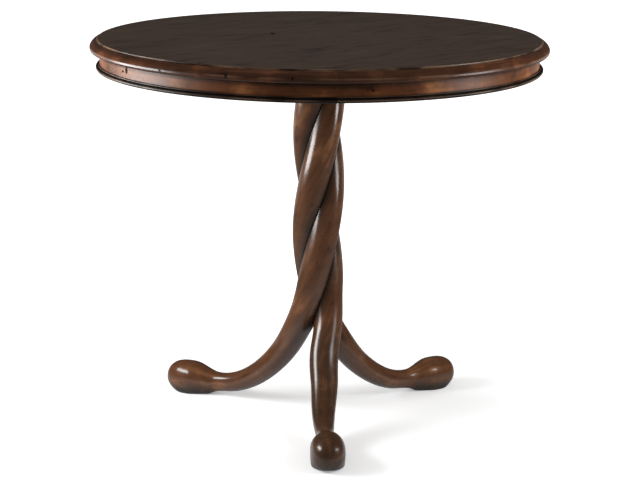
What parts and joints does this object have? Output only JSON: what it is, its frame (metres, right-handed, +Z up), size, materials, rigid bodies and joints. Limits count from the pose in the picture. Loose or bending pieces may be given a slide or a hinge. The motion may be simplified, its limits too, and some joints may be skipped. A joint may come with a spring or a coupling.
{
  "type": "lamp table",
  "caption": "Round wooden lamp table: plank top with moulded edge, beaded apron, and legs that twist into a rope column and spread to club feet.",
  "frame": {"origin": "on the floor, under the middle of the round top", "axes": "+Z up, -Y towards the front foot, +X to the right seen from the front"},
  "size_m": [0.7618, 0.762, 0.66],
  "materials": {
    "top_wood": "dark antiqued stain, satin",
    "edge_wood": "dark antiqued stain, satin",
    "apron_wood": "red-brown stain, satin",
    "bead_wood": "dark glaze over stain, satin",
    "leg_wood": "red-brown stain with dark glaze, satin",
    "inner_wood": "sawn, unfinished",
    "screw_steel": "plated",
    "glide_plastic": "matte"
  },
  "bodies": {
    "root": {"top_board_1": "top_wood", "top_board_2": "top_wood", "top_board_3": "top_wood", "top_board_4": "top_wood", "top_board_5": "top_wood", "top_board_6": "top_wood", "board_splines": "inner_wood", "edge_moulding_1": "edge_wood", "edge_moulding_2": "edge_wood", "apron_segment_1": "apron_wood", "apron_segment_2": "apron_wood", "apron_bead_1": "bead_wood", "apron_bead_2": "bead_wood", "glue_blocks": "inner_wood", "cleat_left": "inner_wood", "cleat_right": "inner_wood", "mounting_block": "inner_wood", "block_screws": "screw_steel", "cleat_screws": "screw_steel", "leg_front": "leg_wood", "leg_right": "leg_wood", "leg_left": "leg_wood", "glide_front": "glide_plastic", "glide_right": "glide_plastic", "glide_left": "glide_plastic"}
  },
  "joints": []
}
